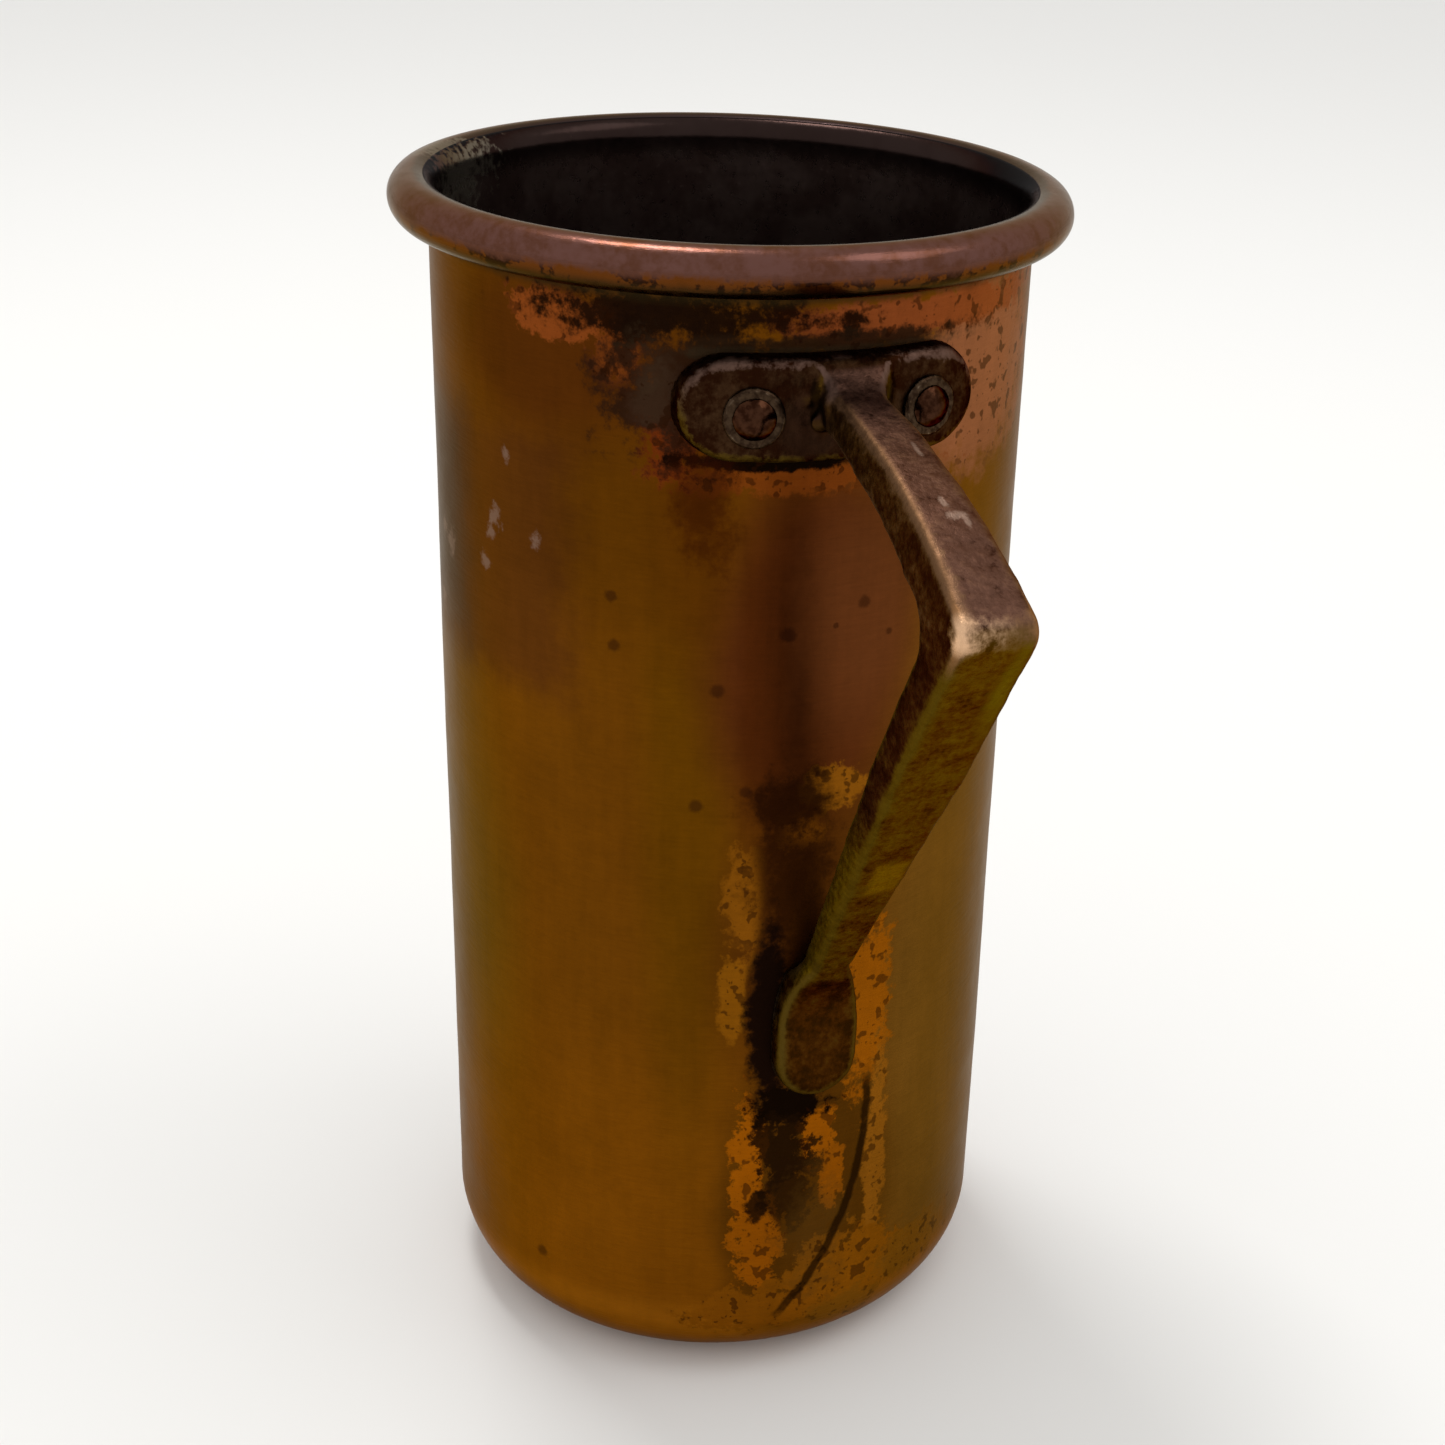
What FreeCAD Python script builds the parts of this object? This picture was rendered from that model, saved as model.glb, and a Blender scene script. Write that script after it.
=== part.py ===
"""Copper mug: a raised copper body with a wired rim, tinned inside, and a cast handle riveted on.

Millimetres, +Z up.  The origin is the middle of the underside of the base, on the body's axis,
and the handle points along +X.
"""
import FreeCAD
import Part
import math
import os

import Sketcher
from FreeCAD import Placement, Rotation, Vector

doc = FreeCAD.newDocument("copper_mug")

# ---- driving dimensions -------------------------------------------------------------------------
SIZES = {
    # raised copper body
    "height": 171.0,              # base to the crown of the rim
    "rim_radius": 46.0,           # outermost reach of the rim bead
    "bead_radius": 3.2,           # half the thickness of the rim bead
    "sheet": 1.2,                 # copper sheet
    "base_round": 12.5,           # rounding between the wall and the base
    "bead_gap": 62.0,             # degrees of the bead's circle left open beside the wall
    "tin": 0.2,                   # tin coat on the inside
    # plate at the top of the handle
    "plate_middle": 150.8,        # height of its middle line
    "plate_width": 13.6,
    "plate_reach": 19.6,          # half its length, measured straight across
    "plate_shift": -0.5,          # the casting sits a little off the middle
    "plate_thick": 3.2,
    "plate_round": 1.5,
    # rivets and their washers
    "rivet_height": 150.3,
    "rivet_turn": 15.1,           # degrees round the body from the handle
    "shank_radius": 1.9,
    "head_radius": 2.8,
    "head_rise": 1.5,
    "inner_head_radius": 3.4,
    "inner_head_rise": 1.1,
    "washer_radius": 3.9,
    "washer_thick": 0.7,
    # bar, elbow and strap of the handle, seen from the side
    "elbow_reach": 92.2,          # from the body's axis to the front of the elbow
    "elbow_height": 140.4,
    "elbow_round": 2.6,
    "root_height": 156.8,         # top of the bar's root, where it grows out of the plate
    "root_depth": 6.8,
    "root_reach": 49.5,           # where the root has narrowed to the bar
    "root_curve": 8.0,            # radius of the root's hollow top and sides
    "bar_height": 154.0,          # top of the bar there
    "bar_curve": 100.0,           # radius of the arched top of the bar
    "bar_hollow": 110.0,          # and of its underside
    "inner_reach": 81.5,          # inner corner of the elbow
    "inner_height": 137.5,
    "inner_round": 4.0,
    "strap_front": 67.3,          # where the strap's front line comes to the pad's face
    "strap_back": 70.2,           # where the strap's back line comes to the wall
    "strap_round": 14.0,
    # the same handle seen from the front: widths
    "root_width": 7.0,
    "flare_left": 0.4,            # how much wider the root is at the plate
    "flare_right": 2.2,
    "bar_width": 8.4,
    "bar_level": 148.0,
    "elbow_width": 10.4,
    "elbow_level": 139.0,
    "strap_level": 118.0,
    "neck_width": 5.8,
    "neck_level": 73.0,
    # pad at the foot of the handle
    "pad_width": 12.0,
    "pad_foot": 50.4,             # its lowest point
    "pad_level": 61.0,            # where its sides begin to close
    "pad_thick": 2.6,
    "pad_curve": 24.0,            # radius of its closing sides
    "solder": 0.2,
}
sheet = doc.addObject("Spreadsheet::Sheet", "dims")
for row, (alias, value) in enumerate(SIZES.items(), start=1):
    sheet.set(f"A{row}", alias)
    sheet.set(f"B{row}", str(value))
    sheet.setAlias(f"B{row}", alias)
doc.recompute()

# lengths that several pieces share, as expressions on the sheet
INSIDE = "(dims.rim_radius - 2 * dims.bead_radius)"           # inner radius of the copper
WALL = "(dims.rim_radius - 2 * dims.bead_radius + dims.sheet)"   # outer radius of the copper
BEAD_AT = "(dims.rim_radius - dims.bead_radius)"              # radius of the bead's middle circle
BEAD_UP = "(dims.height - dims.bead_radius)"                  # height of the bead's middle circle
WIRE = "(dims.bead_radius - dims.sheet)"                      # radius of the wire's section
PLATE_FACE = f"({WALL} + dims.plate_thick)"

UPRIGHT = Placement(Vector(), Rotation(Vector(1, 0, 0), 90))    # sketch x and y lie along X and Z
FACING = Placement(Vector(), Rotation(Vector(1, 1, 1), 120))    # sketch x and y lie along Y and Z


def number(expression):
    """Value of an expression on the sheet."""
    return float(sheet.evalExpression(expression))


# ---- ways of making a piece ---------------------------------------------------------------------
def arc_between(start, end, radius, turn):
    """Arc under half a circle from start to end: turn is 1 anticlockwise or -1 clockwise."""
    half = (end - start) * 0.5
    rise = math.sqrt(max(radius ** 2 - half.Length ** 2, 0.0))
    left = Vector(-half.y, half.x, 0).normalize()
    centre = start + half + left * (rise * turn)
    first, last = (start, end) if turn > 0 else (end, start)
    angles = [math.atan2(p.y - centre.y, p.x - centre.x) for p in (first, last)]
    return Part.ArcOfCircle(Part.Circle(centre, Vector(0, 0, 1), radius), *angles)


def place_point(sketch, line, end, expression, axis):
    """Hold one coordinate of a segment's end to an expression: axis is "X" or "Y"."""
    if expression == "0":
        sketch.addConstraint(Sketcher.Constraint("PointOnObject", line, end, -2 if axis == "X" else -1))
        return
    value = number(expression)
    index = sketch.addConstraint(Sketcher.Constraint("Distance" + axis, -1, 1, line, end, value))
    sketch.setExpression(f"Constraints[{index}]", expression)


def draw(sketch, corners):
    """Closed outline.  Each corner is x, y and, where an arc leaves it, the radius and the turn."""
    points = [Vector(number(c[0]), number(c[1]), 0) for c in corners]
    starts, ends = [], []
    for i, corner in enumerate(corners):
        here, there = points[i], points[(i + 1) % len(points)]
        if len(corner) == 2:
            line = sketch.addGeometry(Part.LineSegment(here, there), False)
            start, end = 1, 2
        else:
            line = sketch.addGeometry(arc_between(here, there, number(corner[2]), corner[3]), False)
            start, end = (1, 2) if corner[3] > 0 else (2, 1)
        starts.append((line, start))
        ends.append((line, end))
    for i, corner in enumerate(corners):
        line, start = starts[i]
        sketch.addConstraint(Sketcher.Constraint("Coincident", *ends[i - 1], line, start))
        place_point(sketch, line, start, corner[0], "X")
        place_point(sketch, line, start, corner[1], "Y")
        if len(corner) == 4:
            index = sketch.addConstraint(Sketcher.Constraint("Radius", line, number(corner[2])))
            sketch.setExpression(f"Constraints[{index}]", corner[2])


def turned(name, corners):
    """Body revolved about Z from an outline of radius and height."""
    body = doc.addObject("PartDesign::Body", name)
    sketch = body.newObject("Sketcher::SketchObject", name + "_section")
    plane = [f for f in body.Origin.OriginFeatures if f.Role == "XZ_Plane"][0]
    sketch.AttachmentSupport = [(plane, "")]
    sketch.MapMode = "FlatFace"
    draw(sketch, corners)
    turn = body.newObject("PartDesign::Revolution", name + "_turned")
    turn.Profile = sketch
    turn.ReferenceAxis = (sketch, ["V_Axis"])
    turn.Angle = 360
    return body


def extruded(name, corners, placement, forward, backward="0"):
    """Solid pulled straight out of an outline, both ways from its plane."""
    sketch = doc.addObject("Sketcher::SketchObject", name + "_outline")
    sketch.Placement = placement
    draw(sketch, corners)
    solid = doc.addObject("Part::Extrusion", name)
    solid.Base = sketch
    solid.DirMode = "Normal"
    solid.setExpression("LengthFwd", forward)
    solid.setExpression("LengthRev", backward)
    solid.Solid = True
    return solid


def combined(kind, name, *pieces):
    """Part::MultiFuse or Part::MultiCommon of several solids."""
    result = doc.addObject("Part::" + kind, name)
    result.Shapes = list(pieces)
    return result


def cut(name, base, tool):
    result = doc.addObject("Part::Cut", name)
    result.Base = base
    result.Tool = tool
    return result


def cylinder(name, radius, height, bottom="0"):
    result = doc.addObject("Part::Cylinder", name)
    result.setExpression("Radius", radius)
    result.setExpression("Height", height)
    result.setExpression("Placement.Base.z", bottom)
    return result


def rounded(name, base, choose):
    """Fillets: choose gives a radius for an edge, or None to leave it sharp."""
    doc.recompute()
    edges = [(i, choose(edge)) for i, edge in enumerate(base.Shape.Edges, start=1)]
    result = doc.addObject("Part::Fillet", name)
    result.Base = base
    result.Edges = [(i, radius, radius) for i, radius in edges if radius]
    return result


def radial(turn, height):
    """Placement that lays a piece's own Z along the body's radius, turned round from the handle."""
    return Placement(Vector(0, 0, height), Rotation(Vector(0, 0, 1), turn) * Rotation(Vector(0, 1, 0), 90))


# ---- rivet holes, shared by the plate, the copper and the tin -----------------------------------
RIVETS = {"left": -number("dims.rivet_turn"), "right": number("dims.rivet_turn")}


def rivet_holes(name):
    holes = []
    for side, turn in RIVETS.items():
        hole = cylinder(f"{name}_{side}", "dims.shank_radius", "dims.rim_radius")
        hole.setExpression("Placement.Base.z", None)
        hole.Placement = radial(turn, number("dims.rivet_height"))
        holes.append(hole)
    return combined("MultiFuse", name, *holes)


# ---- raised copper body -------------------------------------------------------------------------
def copper_body():
    open_x = "cos(180 + dims.bead_gap)"
    open_y = "sin(180 + dims.bead_gap)"
    flat = f"({WALL} - dims.base_round)"
    shell = turned("copper_shell", [
        ("0", "0"),
        (flat, "0", "dims.base_round", 1),
        (WALL, "dims.base_round"),
        (WALL, BEAD_UP, WIRE, -1),
        (BEAD_AT, f"{BEAD_UP} + {WIRE}", WIRE, -1),
        (f"{BEAD_AT} + {WIRE}", BEAD_UP, WIRE, -1),
        (f"{BEAD_AT} + {WIRE} * {open_x}", f"{BEAD_UP} + {WIRE} * {open_y}"),
        (f"{BEAD_AT} + dims.bead_radius * {open_x}", f"{BEAD_UP} + dims.bead_radius * {open_y}",
         "dims.bead_radius", 1),
        ("dims.rim_radius", BEAD_UP, "dims.bead_radius", 1),
        (BEAD_AT, "dims.height", "dims.bead_radius", 1),
        (INSIDE, BEAD_UP),
        (INSIDE, "dims.base_round", "dims.base_round - dims.sheet", -1),
        (flat, "dims.sheet"),
        ("0", "dims.sheet"),
    ])
    return cut("copper_body", shell, rivet_holes("copper_holes"))


def rim_wire():
    wire = doc.addObject("Part::Torus", "rim_wire")
    wire.setExpression("Radius1", BEAD_AT)
    wire.setExpression("Radius2", WIRE)
    wire.setExpression("Placement.Base.z", BEAD_UP)
    return wire


def tin_lining():
    flat = f"({WALL} - dims.base_round)"
    coat = turned("tin_coat", [
        ("0", "dims.sheet"),
        (flat, "dims.sheet", "dims.base_round - dims.sheet", 1),
        (INSIDE, "dims.base_round"),
        (INSIDE, BEAD_UP),
        (f"{INSIDE} - dims.tin", f"{BEAD_UP} - dims.bead_radius"),
        (f"{INSIDE} - dims.tin", "dims.base_round", "dims.base_round - dims.sheet - dims.tin", -1),
        (flat, "dims.sheet + dims.tin"),
        ("0", "dims.sheet + dims.tin"),
    ])
    return cut("tin_lining", coat, rivet_holes("tin_holes"))


# ---- cast handle --------------------------------------------------------------------------------
def handle_plate():
    """Plate with round ends, bent to the wall, its outer edge rounded."""
    end = "dims.plate_width / 2"
    straight = f"(dims.plate_reach - {end})"
    low, high = f"dims.plate_middle - {end}", f"dims.plate_middle + {end}"
    left, right = f"dims.plate_shift - {straight}", f"dims.plate_shift + {straight}"
    tip = "dims.plate_middle"
    block = extruded("plate_block", [
        (left, low),
        (right, low, end, 1),
        (f"{right} + {end}", tip, end, 1),
        (right, high),
        (left, high, end, 1),
        (f"{left} - {end}", tip, end, 1),
    ], FACING, "dims.rim_radius + dims.plate_thick")
    outer = cylinder("plate_outer", PLATE_FACE, "dims.height")
    inner = cylinder("plate_inner", f"{WALL} - dims.sheet", "dims.height")
    bent = cut("plate_bent", combined("MultiCommon", "plate_whole", block, outer), inner)
    face = number(PLATE_FACE)

    def outer_edge(edge):
        on_face = all(abs(math.hypot(v.X, v.Y) - face) < 0.01 for v in edge.Vertexes)
        return number("dims.plate_round") if on_face else None

    return rounded("plate", bent, outer_edge)


def front_outline():
    """The handle's outline seen from the front, from the pad's foot to above the bar."""
    pad, neck = "dims.pad_width / 2", "dims.neck_width / 2"
    elbow, bar, root = "dims.elbow_width / 2", "dims.bar_width / 2", "dims.root_width / 2"
    centre = f"dims.pad_foot + {pad}"
    right = [
        (pad, centre),
        (pad, "dims.pad_level", "dims.pad_curve", 1),
        (neck, "dims.neck_level"),
        (elbow, "dims.strap_level"),
        (elbow, "dims.elbow_level"),
        (bar, "dims.bar_level"),
        (root, "dims.bar_height"),
        (root, "dims.height"),
    ]
    left = [(f"-({corner[0]})", corner[1]) for corner in reversed(right)]
    left[-3] += ("dims.pad_curve", 1)
    left[-1] += (pad, 1)
    return right + left + [("0", "dims.pad_foot", pad, 1)]


def top_outline():
    """The bar's root seen from above: it narrows from the plate to the bar."""
    inside, bar = f"({WALL} - dims.sheet)", "dims.root_width / 2"
    left, right = f"-({bar} + dims.flare_left)", f"{bar} + dims.flare_right"
    return [
        (inside, left),
        (PLATE_FACE, left, "dims.root_curve", -1),
        ("dims.root_reach", f"-{bar}"),
        ("dims.root_reach", bar, "dims.root_curve", -1),
        (PLATE_FACE, right),
        (inside, right),
    ]


def side_outline():
    """The handle's outline seen from the side: bar, elbow, strap and pad, running into the wall."""
    root = f"({WALL} - dims.sheet)"
    face = f"({WALL} + dims.pad_thick)"
    return [
        (root, "dims.root_height - dims.root_depth"),
        (root, "dims.root_height"),
        (PLATE_FACE, "dims.root_height", "dims.root_curve", 1),
        ("dims.root_reach", "dims.bar_height", "dims.bar_curve", -1),
        ("dims.elbow_reach", "dims.elbow_height"),
        (face, "dims.strap_front"),
        (face, "dims.pad_foot - 1"),
        (root, "dims.pad_foot - 1"),
        (root, "dims.strap_back"),
        (WALL, "dims.strap_back"),
        ("dims.inner_reach", "dims.inner_height", "dims.bar_hollow", 1),
    ]


def handle():
    half = "dims.pad_width"
    side = extruded("side", side_outline(), UPRIGHT, half, half)
    corners = {
        "elbow_round": ("dims.elbow_reach", "dims.elbow_height"),
        "inner_round": ("dims.inner_reach", "dims.inner_height"),
        "strap_round": (f"{WALL} + dims.pad_thick", "dims.strap_front"),
    }
    places = {name: Vector(number(x), 0, number(z)) for name, (x, z) in corners.items()}

    def corner_edge(edge):
        middle = edge.CenterOfMass
        for name, place in places.items():
            if abs(middle.x - place.x) + abs(middle.z - place.z) < 0.01:
                return number("dims." + name)
        return None

    side_round = rounded("side_round", side, corner_edge)
    front = extruded("front", front_outline(), FACING, "dims.elbow_reach + dims.rim_radius")
    root = extruded("root", top_outline(), Placement(Vector(0, 0, number("dims.elbow_height")), Rotation()),
                    "dims.height - dims.elbow_height")
    grip = combined("MultiCommon", "grip", side_round, combined("MultiFuse", "front_and_root", front, root))
    casting = combined("MultiFuse", "casting", handle_plate(), grip)
    upper = cylinder("wall_upper", WALL, "dims.height")
    lower = cylinder("wall_lower", f"{WALL} + dims.solder", "dims.strap_level")
    holes = rivet_holes("plate_holes")
    return cut("handle", casting, combined("MultiFuse", "handle_cuts", upper, lower, holes)), front


def solder_joint(front):
    """Thin layer of solder between the pad and the wall."""
    outer = cylinder("solder_outer", f"{WALL} + dims.solder", "dims.strap_back - dims.pad_foot + 1",
                     "dims.pad_foot - 1")
    inner = cylinder("solder_inner", WALL, "dims.height")
    layer = cut("solder_ring", outer, inner)
    return combined("MultiCommon", "solder_joint", layer, front)


# ---- rivets -------------------------------------------------------------------------------------
def rivet(name, turn):
    """Domed head inside, shank through tin, copper, plate and washer, and a formed head outside."""
    inner_face = f"sqrt(({INSIDE} - dims.tin)^2 - dims.inner_head_radius^2)"
    outer_face = f"({PLATE_FACE} + dims.washer_thick)"
    inner_dome = "(dims.inner_head_radius^2 / dims.inner_head_rise + dims.inner_head_rise) / 2"
    outer_dome = "(dims.head_radius^2 / dims.head_rise + dims.head_rise) / 2"
    body = turned(name, [
        ("0", f"{inner_face} - dims.inner_head_rise", inner_dome, 1),
        ("dims.inner_head_radius", inner_face),
        ("dims.shank_radius", inner_face),
        ("dims.shank_radius", outer_face),
        ("dims.head_radius", outer_face, outer_dome, 1),
        ("0", f"{outer_face} + dims.head_rise"),
    ])
    body.Placement = radial(turn, number("dims.rivet_height"))
    return body


def washer(name, turn):
    top = f"({PLATE_FACE} + dims.washer_thick)"
    bevel = "dims.washer_thick / 2"
    body = turned(name, [
        ("dims.shank_radius", PLATE_FACE),
        ("dims.washer_radius", PLATE_FACE),
        ("dims.washer_radius", f"{top} - {bevel}"),
        (f"dims.washer_radius - {bevel}", top),
        ("dims.shank_radius", top),
    ])
    body.Placement = radial(turn, number("dims.rivet_height"))
    return body


# ---- the mug ------------------------------------------------------------------------------------
def build():
    casting, front = handle()
    pieces = {
        "copper_body": copper_body(),
        "rim_wire": rim_wire(),
        "tin_lining": tin_lining(),
        "handle": casting,
        "solder_joint": solder_joint(front),
    }
    for side, turn in RIVETS.items():
        pieces["rivet_" + side] = rivet("rivet_" + side, turn)
        pieces["washer_" + side] = washer("washer_" + side, turn)
    doc.recompute()
    return pieces


def check(pieces):
    """Stop if anything in the document failed or a piece isn't one good solid."""
    for thing in doc.Objects:
        if "Invalid" in thing.State or "Error" in thing.State:
            raise RuntimeError(f"{thing.Label} failed: {thing.State}")
    for name, piece in pieces.items():
        shape = piece.Shape
        if shape.isNull() or not shape.isValid() or len(shape.Solids) != 1:
            raise RuntimeError(f"{name} isn't one valid solid")
        print(f"{name:16s} {shape.Volume / 1000:8.2f} cm3")


def export(pieces):
    os.makedirs("parts", exist_ok=True)
    for name, piece in pieces.items():
        piece.Label = name
        piece.Shape.exportStep(f"parts/{name}.step")


PIECES = build()
check(PIECES)
export(PIECES)
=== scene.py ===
"""Copper mug: the finished looks of the raised body, its wired rim, tinned inside and cast handle."""
import math

import bmesh
import bpy
import numpy as np
from mathutils import Matrix, Vector, noise


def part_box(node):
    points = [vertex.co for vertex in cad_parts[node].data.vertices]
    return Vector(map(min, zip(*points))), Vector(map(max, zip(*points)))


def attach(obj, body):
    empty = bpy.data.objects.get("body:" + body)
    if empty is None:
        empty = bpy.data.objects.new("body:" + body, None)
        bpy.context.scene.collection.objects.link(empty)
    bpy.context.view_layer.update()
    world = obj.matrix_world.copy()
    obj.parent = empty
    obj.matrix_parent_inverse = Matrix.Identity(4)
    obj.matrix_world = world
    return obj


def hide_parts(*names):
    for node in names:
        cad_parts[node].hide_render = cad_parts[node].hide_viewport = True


bl_info = {
    "name": "Copper mug",
    "version": (1, 0, 0),
    "blender": (4, 5, 0),
    "location": "View3D > Sidebar > Mug",
    "description": "Builds an old raised copper mug with a cast handle on its packed frame",
    "category": "Object",
}

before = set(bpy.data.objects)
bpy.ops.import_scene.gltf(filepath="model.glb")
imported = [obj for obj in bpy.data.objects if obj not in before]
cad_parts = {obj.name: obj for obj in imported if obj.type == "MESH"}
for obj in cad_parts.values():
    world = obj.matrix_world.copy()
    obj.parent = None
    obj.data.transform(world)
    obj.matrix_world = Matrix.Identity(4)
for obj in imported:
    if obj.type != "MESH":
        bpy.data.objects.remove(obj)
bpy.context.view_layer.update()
MM = 0.001


def linear(code):
    """Linear RGBA from an sRGB hex value."""
    parts = [int(code[i:i + 2], 16) / 255 for i in (1, 3, 5)]
    return tuple(c / 12.92 if c <= 0.04045 else ((c + 0.055) / 1.055) ** 2.4 for c in parts) + (1.0,)


# ---- sizes and colours a user would change ------------------------------------------------------
BODY_LOW, BODY_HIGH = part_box("copper_body")
HANDLE_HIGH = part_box("handle")[1]


def length(name, words, value):
    return bpy.props.FloatProperty(name=name, description=words, default=value,
                                   subtype="DISTANCE", unit="LENGTH")


class MUG_PG_body(bpy.types.PropertyGroup):
    height: length("Height", "Base to the crown of the rim", BODY_HIGH.z)
    rim: length("Rim radius", "Outermost reach of the rolled rim", BODY_HIGH.x)
    bead: length("Bead radius", "Half the thickness of the rolled rim", 3.2 * MM)
    sheet: length("Sheet", "Thickness of the copper", 1.2 * MM)
    base_round: length("Base rounding", "Radius between wall and base", 12.5 * MM)
    tin: length("Tin", "Thickness of the tin coat", 0.2 * MM)
    wobble: length("Wobble", "How far hand raising leaves the wall out of round", 0.15 * MM)


class MUG_PG_handle(bpy.types.PropertyGroup):
    grain: length("Grain", "Spacing of the mesh that carries the casting's surface", 0.33 * MM)
    roughness: length("Casting roughness", "Height of the sand-cast unevenness", 0.10 * MM)
    wear: bpy.props.IntProperty(
        name="Wear", description="Rounds of smoothing that wear the edges", default=42)


class MUG_PG_colours(bpy.types.PropertyGroup):
    copper: bpy.props.FloatVectorProperty(
        name="Copper", description="Colour of the aged copper", size=4, subtype="COLOR",
        default=linear("#643905"))
    bronze: bpy.props.FloatVectorProperty(
        name="Casting", description="Colour of the handle's top", size=4, subtype="COLOR",
        default=linear("#543a2f"))
    floor: bpy.props.FloatVectorProperty(
        name="Floor", description="Colour of the floor", size=4, subtype="COLOR",
        default=linear("#e9e8e5"))


# ---- mesh helpers -------------------------------------------------------------------------------
def arc(centre, radius, start, end, count):
    """Points on an arc in the radius-height plane; angles in degrees, both ends included."""
    angles = np.radians(np.linspace(start, end, count))
    return [(centre[0] + radius * math.cos(a), centre[1] + radius * math.sin(a)) for a in angles]


def run(start, end, count):
    """Points along a straight line, without its ends."""
    steps = np.linspace(0, 1, count + 2)[1:-1]
    return [(start[0] + (end[0] - start[0]) * t, start[1] + (end[1] - start[1]) * t) for t in steps]


def lathe(name, profile, around=256):
    """Closed mesh turned about Z from an outline of radius and height that starts and ends on the axis
    or closes on itself."""
    shape = bmesh.new()
    rings = []
    for radius, height in profile:
        if radius < 1e-7:
            rings.append([shape.verts.new((0, 0, height))])
            continue
        turns = (2 * math.pi * i / around for i in range(around))
        rings.append([shape.verts.new((radius * math.cos(t), radius * math.sin(t), height)) for t in turns])
    on_axis = len(rings[0]) == 1
    pairs = zip(rings[:-1], rings[1:]) if on_axis else zip(rings, rings[1:] + rings[:1])
    for low, high in pairs:
        for i in range(around):
            j = (i + 1) % around
            corners = [low[i % len(low)], low[j % len(low)], high[j % len(high)], high[i % len(high)]]
            shape.faces.new(list(dict.fromkeys(corners)))
    bmesh.ops.recalc_face_normals(shape, faces=shape.faces)
    mesh = bpy.data.meshes.new(name)
    shape.to_mesh(mesh)
    shape.free()
    mesh.shade_smooth()
    return add_piece(name, mesh)


def add_piece(name, mesh):
    piece = bpy.data.objects.new(name, mesh)
    bpy.context.scene.collection.objects.link(piece)
    return piece


def shift(mesh, offset):
    """Move every vertex by offset(position, normal), a vector."""
    spots = [v.co.copy() for v in mesh.vertices]
    normals = [v.normal.copy() for v in mesh.vertices]
    for vertex, spot, normal in zip(mesh.vertices, spots, normals):
        vertex.co = spot + offset(spot, normal)
    mesh.update()


def fine_copy(node, spacing):
    """The node's solid as a new mesh of even small faces."""
    rough = add_piece(node.name + "_rough", node.data.copy())
    cells = rough.modifiers.new("cells", "REMESH")
    cells.mode = "VOXEL"
    cells.voxel_size = spacing
    view = bpy.context.evaluated_depsgraph_get()
    mesh = bpy.data.meshes.new_from_object(rough.evaluated_get(view))
    bpy.data.objects.remove(rough)
    if len(mesh.vertices) < 500:
        raise RuntimeError(node.name + " came out empty")
    mesh.shade_smooth()
    return mesh


def soften(mesh, rounds, hold):
    """Wear the mesh down towards the average of its neighbours: hold(x, y, z) is 0 where it stays.  The
    attribute "worn" keeps how far each place was worn in, in millimetres, below 0 where it was filled."""
    spots = np.empty(len(mesh.vertices) * 3)
    mesh.vertices.foreach_get("co", spots)
    spots = spots.reshape(-1, 3)
    before = spots.copy()
    normals = np.empty(spots.size)
    mesh.vertices.foreach_get("normal", normals)
    ends = np.empty(len(mesh.edges) * 2, dtype=np.int32)
    mesh.edges.foreach_get("vertices", ends)
    one, two = ends.reshape(-1, 2).T
    count = np.bincount(ends, minlength=len(spots))
    give = 0.5 * hold(*spots.T)[:, None]
    for _ in range(rounds):
        total = np.stack([np.bincount(one, spots[two, k], len(spots))
                          + np.bincount(two, spots[one, k], len(spots)) for k in range(3)], axis=1)
        spots += give * (total / count[:, None] - spots)
    mesh.vertices.foreach_set("co", spots.ravel())
    mesh.update()
    worn = ((before - spots) * normals.reshape(-1, 3)).sum(axis=1) / MM
    mesh.attributes.new("worn", "FLOAT", "POINT").data.foreach_set("value", worn)


def raised_by_hand(mesh, body):
    """Leave the wall a little out of round, as hammering does; the flat base stays true."""
    def uneven(spot, normal):
        flat_way = Vector((spot.x, spot.y, 0))
        if flat_way.length < 1e-6:
            return Vector()
        slow = noise.noise(Vector((flat_way.x, flat_way.y, spot.z * 0.6)) * 45)
        quick = noise.noise(flat_way.normalized() * 6 + Vector((7, 0, spot.z * 160)))
        foot = min(1.0, spot.z / body.base_round)
        return flat_way.normalized() * (slow + 0.3 * quick - 0.5) * body.wobble * foot

    shift(mesh, uneven)


def settle(piece, body, slot, *nodes):
    """Ride on the body and stand for the given nodes. The slot is not used."""
    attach(piece, body)
    if nodes:
        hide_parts(*nodes)


# ---- material helpers ---------------------------------------------------------------------------
def add(tree, kind, inputs=None, out=0, **settings):
    """Adds a shader node with its settings and links, and gives one of its outputs."""
    node = tree.nodes.new("ShaderNode" + kind)
    for key, value in settings.items():
        setattr(node, key, value)
    for key, value in (inputs or {}).items():
        if isinstance(value, bpy.types.NodeSocket):
            tree.links.new(value, node.inputs[key])
        else:
            node.inputs[key].default_value = value
    return node.outputs[out]


def new_material(name):
    material = bpy.data.materials.new(name)
    material.use_nodes = True
    material.node_tree.nodes.clear()
    return material, material.node_tree


def finish_surface(tree, **inputs):
    """Principled shader from the named inputs to the output."""
    names = {key.replace("_", " "): value for key, value in inputs.items()}
    shader = add(tree, "BsdfPrincipled", names)
    add_output = tree.nodes.new("ShaderNodeOutputMaterial")
    tree.links.new(shader, add_output.inputs["Surface"])


def position_mm(tree):
    """Place on the object in millimetres."""
    here = add(tree, "TexCoord", out="Object")
    return add(tree, "VectorMath", {0: here, 3: 1000.0}, operation="SCALE")


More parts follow.
